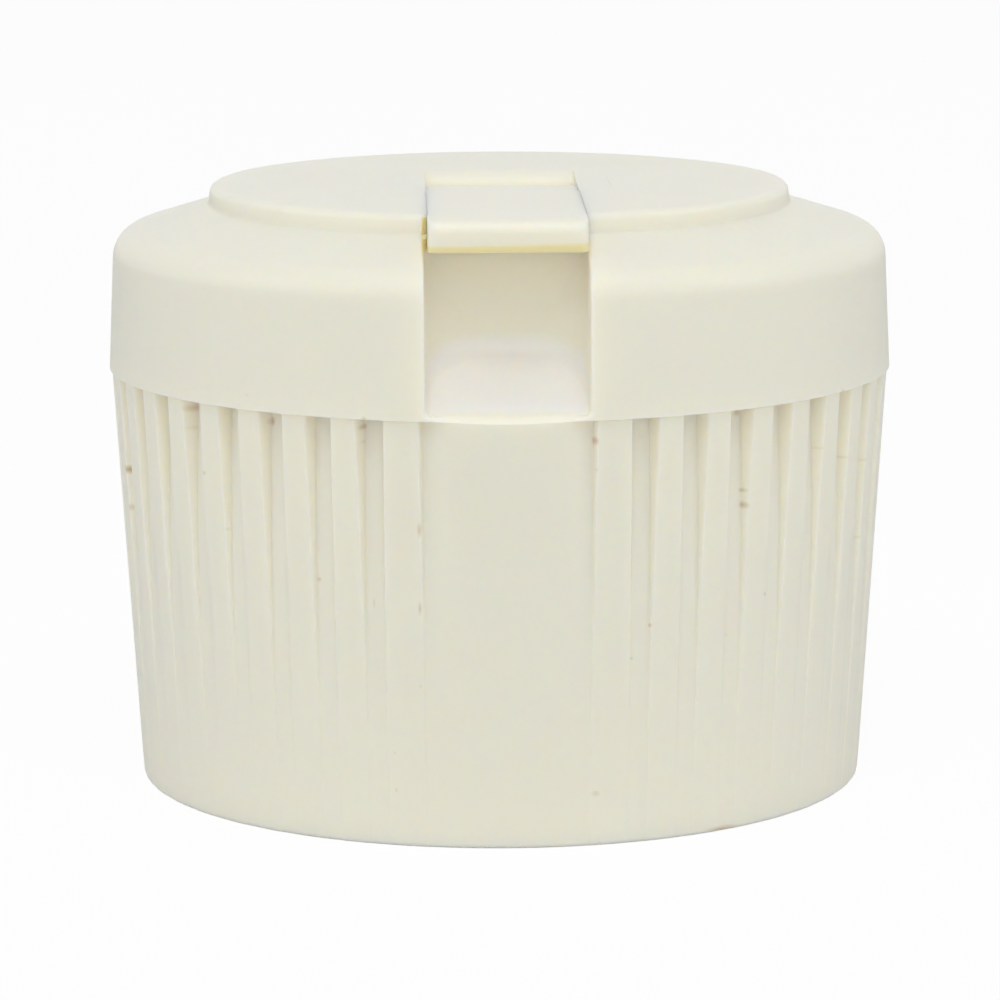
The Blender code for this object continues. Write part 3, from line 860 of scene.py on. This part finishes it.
def ivory_plastic(name, roughness):
    """Ivory polypropylene with a cloudy colour, an uneven gloss and a fine grain."""
    material = bpy.data.materials.new(name)
    material.use_nodes = True
    tree = material.node_tree
    shader = tree.nodes["Principled BSDF"]
    shader.inputs["Subsurface Weight"].default_value = 1.0
    shader.inputs["Subsurface Radius"].default_value = SCATTER_RADIUS
    shader.inputs["Subsurface Scale"].default_value = SCATTER_SCALE
    shader.inputs["IOR"].default_value = REFRACTION
    place = node(tree, "ShaderNodeTexCoord", (-1200, 0))
    cloud = node(tree, "ShaderNodeTexNoise", (-900, 200))
    cloud.inputs["Scale"].default_value = CLOUD_SCALE
    cloud.inputs["Detail"].default_value = CLOUD_DETAIL
    tree.links.new(place.outputs["Object"], cloud.inputs["Vector"])
    tint = node(tree, "ShaderNodeMix", (-500, 200), data_type="RGBA")
    tint.inputs["A"].default_value = (*IVORY, 1)
    tint.inputs["B"].default_value = (*IVORY_DEEP, 1)
    tree.links.new(cloud.outputs["Fac"], tint.inputs["Factor"])
    tree.links.new(tint.outputs["Result"], shader.inputs["Base Color"])
    gloss = node(tree, "ShaderNodeMapRange", (-500, -100))
    gloss.inputs["To Min"].default_value = roughness - GLOSS_SPREAD
    gloss.inputs["To Max"].default_value = roughness + GLOSS_SPREAD
    tree.links.new(cloud.outputs["Fac"], gloss.inputs["Value"])
    tree.links.new(gloss.outputs["Result"], shader.inputs["Roughness"])
    grain = node(tree, "ShaderNodeTexNoise", (-900, -300))
    grain.inputs["Scale"].default_value = GRAIN_SCALE
    tree.links.new(place.outputs["Object"], grain.inputs["Vector"])
    bump = node(tree, "ShaderNodeBump", (-500, -300))
    bump.inputs["Strength"].default_value = GRAIN_STRENGTH
    bump.inputs["Distance"].default_value = GRAIN_DEPTH
    tree.links.new(grain.outputs["Fac"], bump.inputs["Height"])
    tree.links.new(bump.outputs["Normal"], shader.inputs["Normal"])
    return material


for item, roughness in ((cap, CAP_ROUGHNESS), (spout, SPOUT_ROUGHNESS)):
    item.data.materials.clear()
    item.data.materials.append(ivory_plastic(f"{item.name}_plastic", roughness))
print("plastic on both mouldings")

# %% [markdown]
# ## A paler recess floor
#
# In the render the recess's walls throw more yellow light on its floor than the photograph
# shows there. A paler base colour on the floor makes up for that: it is a correction, and no
# claim that the plastic is paler. The tint is laid in by place. Masks are made by ramps over
# the Object coordinates, and several ramps multiplied make a box. Here they hold the tint near
# the floor, behind its front edge, in front of the back wall and between the sides.

# %% Tint the recess floor
FLOOR_PALE = (0.985, 0.958, 0.895)
FLOOR_FULL, FLOOR_CLEAR = 0.0002, 0.0007
FRONT_FULL, FRONT_CLEAR = 0.0158, 0.0162
REAR_FULL, REAR_CLEAR = 0.0118, 0.0116
SKIRT_FULL, SKIRT_CLEAR = 0.0004, 0.0001
SIDE_BLEND = 0.0003


def multiplied(tree, first, second):
    both = node(tree, "ShaderNodeMath", (-700, 500), operation="MULTIPLY")
    tree.links.new(first, both.inputs[0])
    tree.links.new(second, both.inputs[1])
    return both.outputs[0]


def ramp(tree, value, low, high):
    """Share that grows from 0 at low to 1 at high."""
    made = node(tree, "ShaderNodeMapRange", (-900, 500))
    made.inputs["From Min"].default_value = low
    made.inputs["From Max"].default_value = high
    tree.links.new(value, made.inputs["Value"])
    return made.outputs["Result"]


def tinted(tree, colour, share):
    """Mixes a colour into the plastic's base colour where the share is high."""
    base = tree.nodes["Principled BSDF"].inputs["Base Color"]
    before = base.links[0].from_socket
    mix = node(tree, "ShaderNodeMix", (-250, 300), data_type="RGBA")
    mix.inputs["B"].default_value = (*colour, 1)
    tree.links.new(before, mix.inputs["A"])
    tree.links.new(share, mix.inputs["Factor"])
    tree.links.new(mix.outputs["Result"], base)


def axes(tree):
    """The three Object coordinates of a material's surface."""
    place = node(tree, "ShaderNodeTexCoord", (-1400, 500))
    parts = node(tree, "ShaderNodeSeparateXYZ", (-1200, 500))
    tree.links.new(place.outputs["Object"], parts.inputs[0])
    return parts.outputs


def all_of(tree, shares):
    """Product of several shares."""
    product = shares[0]
    for share in shares[1:]:
        product = multiplied(tree, product, share)
    return product


cap_tree = cap.data.materials[0].node_tree
cap_x, cap_y, cap_z = axes(cap_tree)
over_floor = node(cap_tree, "ShaderNodeMath", (-1050, 300), operation="MULTIPLY_ADD")
over_floor.inputs[1].default_value = -math.tan(RECESS_FLOOR_SLOPE)
cap_tree.links.new(cap_y, over_floor.inputs[0])
cap_tree.links.new(cap_z, over_floor.inputs[2])
sideways = node(cap_tree, "ShaderNodeMath", (-1050, 100), operation="ABSOLUTE")
cap_tree.links.new(cap_x, sideways.inputs[0])
floor_level = SKIRT_HEIGHT + BAND_RADIUS * math.tan(RECESS_FLOOR_SLOPE)
tinted(cap_tree, FLOOR_PALE, all_of(cap_tree, (
    ramp(cap_tree, over_floor.outputs[0], floor_level + FLOOR_CLEAR, floor_level + FLOOR_FULL),
    ramp(cap_tree, cap_y, -FRONT_CLEAR, -FRONT_FULL),
    ramp(cap_tree, cap_y, -REAR_CLEAR, -REAR_FULL),
    ramp(cap_tree, sideways.outputs[0], RECESS_HALF, RECESS_HALF - SIDE_BLEND),
    ramp(cap_tree, cap_z, SKIRT_HEIGHT + SKIRT_CLEAR, SKIRT_HEIGHT + SKIRT_FULL))))
print("pale recess floor")

# %% [markdown]
# ## Yellow thin places
#
# Light that has to find its way out through a thin edge or a narrow slit comes out yellower.
# The foot of the spout's lip and the slit at its left side show this as a yellow band. Tracing
# it would take far more samples than a tint laid in by place, as on the recess floor. The
# lip's band leans a little, so its height is measured with a share of the sideways place.

# %% Tint the lip's foot and the slit beside it
LIP_YELLOW = (0.965, 0.835, 0.5)
LIP_CLEAR = 0.00097
LIP_BLEND = 0.00006
LIP_LEAN = 0.02
LIP_TIP_FACE = 0.0119
LIP_TIP_BLEND = 0.0003
SLIT_YELLOW = (0.97, 0.8, 0.42)
SLIT_HALF = 0.00016
SLIT_OUTER_FULL, SLIT_OUTER_CLEAR = 1.3, 1.6
SLIT_BACK = 0.0115
SLIT_BACK_BLEND = 0.0001
SLIT_LOW_BLEND = 0.0002
SLIT_TOP_BLEND = 0.00015

lip_tree = spout.data.materials[0].node_tree
lip_x, lip_y, lip_z = axes(lip_tree)
leaned = node(lip_tree, "ShaderNodeMath", (-1050, 500), operation="MULTIPLY_ADD")
leaned.inputs[1].default_value = -LIP_LEAN
lip_tree.links.new(lip_x, leaned.inputs[0])
lip_tree.links.new(lip_z, leaned.inputs[2])
lip_edge = DECK_HEIGHT - LIP_CLEAR
low_part = ramp(lip_tree, leaned.outputs[0], lip_edge + LIP_BLEND, lip_edge - LIP_BLEND)
tip_part = ramp(lip_tree, lip_y, -LIP_TIP_FACE, -LIP_TIP_FACE - LIP_TIP_BLEND)
tinted(lip_tree, LIP_YELLOW, multiplied(lip_tree, low_part, tip_part))

slit_x = TAB_SHIFT - TAB_HALF
tinted(cap_tree, SLIT_YELLOW, all_of(cap_tree, (
    ramp(cap_tree, cap_x, slit_x + SLIT_HALF / 2, slit_x),
    ramp(cap_tree, cap_x, slit_x - SLIT_HALF * SLIT_OUTER_CLEAR, slit_x - SLIT_HALF * SLIT_OUTER_FULL),
    ramp(cap_tree, cap_y, -SLIT_BACK, -SLIT_BACK - SLIT_BACK_BLEND),
    ramp(cap_tree, cap_z, TAB_UNDERSIDE - SLIT_LOW_BLEND, TAB_UNDERSIDE),
    ramp(cap_tree, cap_z, DECK_HEIGHT, DECK_HEIGHT - SLIT_TOP_BLEND))))
print("yellow lip foot and slit")

# %% [markdown]
# ## Dirt on the cap
#
# A used cap carries grains of dirt on its band and ribs and a stain at its rim. They are stains
# in the surface, not lumps, so they are drawn in the base colour. The cap's outside is unrolled
# into a flat sheet, arc length against height. Each stain is a soft spot there: the distance
# from its middle, measured in its own width and height, turns into a strength, and where two
# spots meet the stronger one wins. A row holds its place round the cap in degrees, its height
# in millimetres, its width and height in millimetres, and its strength.

# %% Draw the dirt stains
DIRT = (0.45, 0.33, 0.15)
DIRT_SOFTNESS = 0.75
DIRT_DEPTH = 1.35
OUTSIDE_RADIUS = 0.0148
OUTSIDE_BLEND = 0.0001
STAINS = (
    (56.8, 17.5, 0.26, 0.16, 0.27), (-38.9, 18.1, 0.16, 0.12, 0.1), (-52.4, 17.1, 0.28, 0.28, 0.28),
    (35.9, 17.25, 0.32, 0.24, 0.3), (-36.4, 17.0, 0.21, 0.28, 0.4), (-20.1, 17.5, 0.21, 0.2, 0.4),
    (-21.1, 17.1, 0.17, 0.2, 0.37), (-21.1, 16.5, 0.09, 0.12, 0.16), (12.3, 16.65, 0.17, 0.28, 0.43),
    (52.6, 15.3, 0.23, 0.12, 0.1), (60.3, 14.6, 0.2, 0.12, 0.17), (68.3, 14.15, 0.3, 0.12, 0.12),
    (-76.0, 13.6, 0.5, 0.3, 0.6), (12.5, 15.5, 0.12, 0.12, 0.12), (-48.7, 14.6, 0.26, 0.16, 0.25),
    (36.6, 14.1, 0.21, 0.16, 0.32), (36.7, 13.5, 0.22, 0.24, 0.4), (-76.0, 12.0, 0.4, 0.25, 0.22),
    (-44.7, 12.4, 0.18, 0.12, 0.1), (-12.6, 13.1, 0.16, 0.47, 0.3), (68.1, 10.9, 0.3, 0.13, 0.12),
    (-28.4, 10.8, 0.19, 0.16, 0.25), (41.3, 9.7, 0.24, 0.16, 0.3), (-19.7, 10.0, 0.09, 0.36, 0.18),
    (-12.7, 9.9, 0.12, 0.44, 0.32), (21.05, 9.0, 0.13, 0.16, 0.3), (34.2, 8.25, 0.16, 0.12, 0.1),
    (18.3, 7.7, 0.13, 0.12, 0.2), (-12.8, 6.7, 0.13, 0.16, 0.12), (-16.95, 3.9, 0.09, 0.12, 0.16),
    (-16.9, 2.35, 0.13, 0.16, 0.14), (13.1, 2.2, 0.3, 0.2, 0.19), (34.8, 0.1, 1.34, 0.24, 0.42),
    (-52.5, 16.3, 0.21, 0.16, 0.1))


def unrolled(tree):
    """Arc length and height of a surface point as a vector, and its distance from the axis."""
    x, y, z = axes(tree)
    flip = node(tree, "ShaderNodeMath", (-1050, 700), operation="MULTIPLY")
    flip.inputs[1].default_value = -1.0
    tree.links.new(y, flip.inputs[0])
    angle = node(tree, "ShaderNodeMath", (-900, 700), operation="ARCTAN2")
    tree.links.new(x, angle.inputs[0])
    tree.links.new(flip.outputs[0], angle.inputs[1])
    length = node(tree, "ShaderNodeMath", (-750, 700), operation="MULTIPLY")
    length.inputs[1].default_value = BAND_RADIUS
    tree.links.new(angle.outputs[0], length.inputs[0])
    sheet = node(tree, "ShaderNodeCombineXYZ", (-600, 700))
    tree.links.new(length.outputs[0], sheet.inputs[0])
    tree.links.new(z, sheet.inputs[1])
    ring = node(tree, "ShaderNodeCombineXYZ", (-900, 900))
    tree.links.new(x, ring.inputs[0])
    tree.links.new(y, ring.inputs[1])
    radius = node(tree, "ShaderNodeVectorMath", (-750, 900), operation="LENGTH")
    tree.links.new(ring.outputs[0], radius.inputs[0])
    return sheet.outputs[0], radius.outputs["Value"]


def stain_share(tree, sheet, stain):
    """Strength of one stain: full in its middle and nothing past its own width and height."""
    degrees, height, wide, high, strength = stain
    reach = (DIRT_SOFTNESS * wide / 1000, DIRT_SOFTNESS * high / 1000)
    middle = (math.radians(degrees) * BAND_RADIUS, height / 1000)
    scaled = node(tree, "ShaderNodeVectorMath", (-400, 700), operation="MULTIPLY_ADD")
    scaled.inputs[1].default_value = (1 / reach[0], 1 / reach[1], 0)
    scaled.inputs[2].default_value = (-middle[0] / reach[0], -middle[1] / reach[1], 0)
    tree.links.new(sheet, scaled.inputs[0])
    away = node(tree, "ShaderNodeVectorMath", (-250, 700), operation="LENGTH")
    tree.links.new(scaled.outputs[0], away.inputs[0])
    share = node(tree, "ShaderNodeMath", (-100, 700), operation="MULTIPLY_ADD")
    share.inputs[1].default_value = -DIRT_DEPTH * strength
    share.inputs[2].default_value = DIRT_DEPTH * strength
    tree.links.new(away.outputs["Value"], share.inputs[0])
    return share.outputs[0]


def strongest(tree, first, second):
    larger = node(tree, "ShaderNodeMath", (50, 700), operation="MAXIMUM")
    tree.links.new(first, larger.inputs[0])
    tree.links.new(second, larger.inputs[1])
    return larger.outputs[0]


sheet, radius = unrolled(cap_tree)
outside = ramp(cap_tree, radius, OUTSIDE_RADIUS - OUTSIDE_BLEND, OUTSIDE_RADIUS)
dirt = stain_share(cap_tree, sheet, STAINS[0])
for stain in STAINS[1:]:
    dirt = strongest(cap_tree, dirt, stain_share(cap_tree, sheet, stain))
held = node(cap_tree, "ShaderNodeMath", (200, 700), operation="MAXIMUM")
cap_tree.links.new(dirt, held.inputs[0])
held.inputs[1].default_value = 0.0
tinted(cap_tree, DIRT, multiplied(cap_tree, held.outputs[0], outside))
print(len(STAINS), "stains")

# %% [markdown]
# ## A pale studio
#
# The cap stands on a white table in an almost shadowless studio: a white surrounding, a large
# soft light above and a little in front, weaker ones in front, and one at each side. The camera
# and the reflections see the surrounding as plain white, and the camera sees the table so too,
# while the table still takes a trace of the cap's soft shadow.

# %% Floor, world and lights
FLOOR_SIZE = 1.2
FLOOR_GREY = 0.9
CAMERA_WHITE = 0.95
WORLD_STRENGTH = 0.39
LAMP_SIZE = 0.3


def white_floor():
    bm = bmesh.new()
    bmesh.ops.create_grid(bm, x_segments=1, y_segments=1, size=FLOOR_SIZE / 2)
    floor = finished("studio_floor", bm)
    material = bpy.data.materials.new("floor_white")
    material.use_nodes = True
    tree = material.node_tree
    shader = tree.nodes["Principled BSDF"]
    shader.inputs["Base Color"].default_value = (FLOOR_GREY, FLOOR_GREY, FLOOR_GREY, 1)
    shader.inputs["Roughness"].default_value = 1.0
    shader.inputs["Specular IOR Level"].default_value = 0.0
    white = node(tree, "ShaderNodeEmission", (0, -300))
    rays = node(tree, "ShaderNodeLightPath", (-300, 300))
    share = node(tree, "ShaderNodeMath", (0, 300), operation="MULTIPLY")
    share.inputs[1].default_value = CAMERA_WHITE
    mix = node(tree, "ShaderNodeMixShader", (300, 0))
    tree.links.new(rays.outputs["Is Camera Ray"], share.inputs[0])
    tree.links.new(share.outputs[0], mix.inputs["Fac"])
    tree.links.new(shader.outputs["BSDF"], mix.inputs[1])
    tree.links.new(white.outputs["Emission"], mix.inputs[2])
    tree.links.new(mix.outputs["Shader"], tree.nodes["Material Output"].inputs["Surface"])
    floor.data.materials.append(material)


def white_world(strength):
    """A white surrounding. Camera, reflections and glass see it as plain white."""
    world = bpy.data.worlds.new("pale_studio")
    bpy.context.scene.world = world
    world.use_nodes = True
    tree = world.node_tree
    around = tree.nodes["Background"]
    around.inputs["Color"].default_value = (1, 1, 1, 1)
    around.inputs["Strength"].default_value = strength
    seen = node(tree, "ShaderNodeBackground", (0, -200))
    seen.inputs["Color"].default_value = (1, 1, 1, 1)
    rays = node(tree, "ShaderNodeLightPath", (-600, 200))
    mirrored = strongest(tree, rays.outputs["Is Glossy Ray"], rays.outputs["Is Transmission Ray"])
    mix = node(tree, "ShaderNodeMixShader", (300, 0))
    tree.links.new(strongest(tree, rays.outputs["Is Camera Ray"], mirrored), mix.inputs["Fac"])
    tree.links.new(around.outputs["Background"], mix.inputs[1])
    tree.links.new(seen.outputs["Background"], mix.inputs[2])
    tree.links.new(mix.outputs["Shader"], tree.nodes["World Output"].inputs["Surface"])


def soft_light(name, place, power):
    lamp = bpy.data.lights.new(name, "AREA")
    lamp.shape = "SQUARE"
    lamp.size = LAMP_SIZE
    lamp.energy = power
    item = bpy.data.objects.new(name, lamp)
    item.location = place
    item.rotation_euler = (-Vector(place)).to_track_quat("-Z", "Y").to_euler()
    bpy.context.scene.collection.objects.link(item)


white_floor()
white_world(WORLD_STRENGTH)
soft_light("overhead_light", (0.0, -0.18, 0.46), 0.55)
soft_light("key_light", (0.0, -0.33, 0.38), 0.165)
soft_light("front_light", (0.0, -0.47, 0.17), 0.2)
for side in (-1, 1):
    soft_light("side_light", (side * 0.4, -0.1, 0.25), 0.33)
print("studio set")

# %% [markdown]
# ## The camera
#
# The photograph was taken with a long lens from a little above, almost straight in front. The
# cap stood turned by about one degree, which here is done by the camera swinging the other way.

# %% Camera
CAMERA_DISTANCE = 0.2116
CAMERA_HEIGHT = 0.0489
CAMERA_SWING = math.radians(-1.15)
CAMERA_PITCH = math.radians(79.98)
CAMERA_ROLL = math.radians(-0.18)
LENS = 181.3
SENSOR_WIDTH = 36.0

camera_data = bpy.data.cameras.new("camera")
camera_data.lens = LENS
camera_data.sensor_width = SENSOR_WIDTH
camera = bpy.data.objects.new("camera", camera_data)
bpy.context.scene.collection.objects.link(camera)
camera.location = (CAMERA_DISTANCE * math.sin(CAMERA_SWING),
                   -CAMERA_DISTANCE * math.cos(CAMERA_SWING), CAMERA_HEIGHT)
turn = Matrix.Rotation(CAMERA_SWING, 4, "Z") @ Matrix.Rotation(CAMERA_PITCH, 4, "X")
turn = turn @ Matrix.Rotation(CAMERA_ROLL, 4, "Z")
camera.rotation_euler = turn.to_euler()
bpy.context.scene.camera = camera
print("camera at", [round(value, 4) for value in camera.location])

# %% [markdown]
# ## Hand over
#
# Each moulding takes the place of its imported node and rides on the same body, so the spout
# turns on its trunnions.

# %% Ride, replace and finish
for item, body, cad_node in ((cap, "cap", "cap_body"), (spout, "spout", "flip_spout")):
    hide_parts(cad_node)
    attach(item, body)

bpy.context.scene.view_settings.view_transform = "Standard"
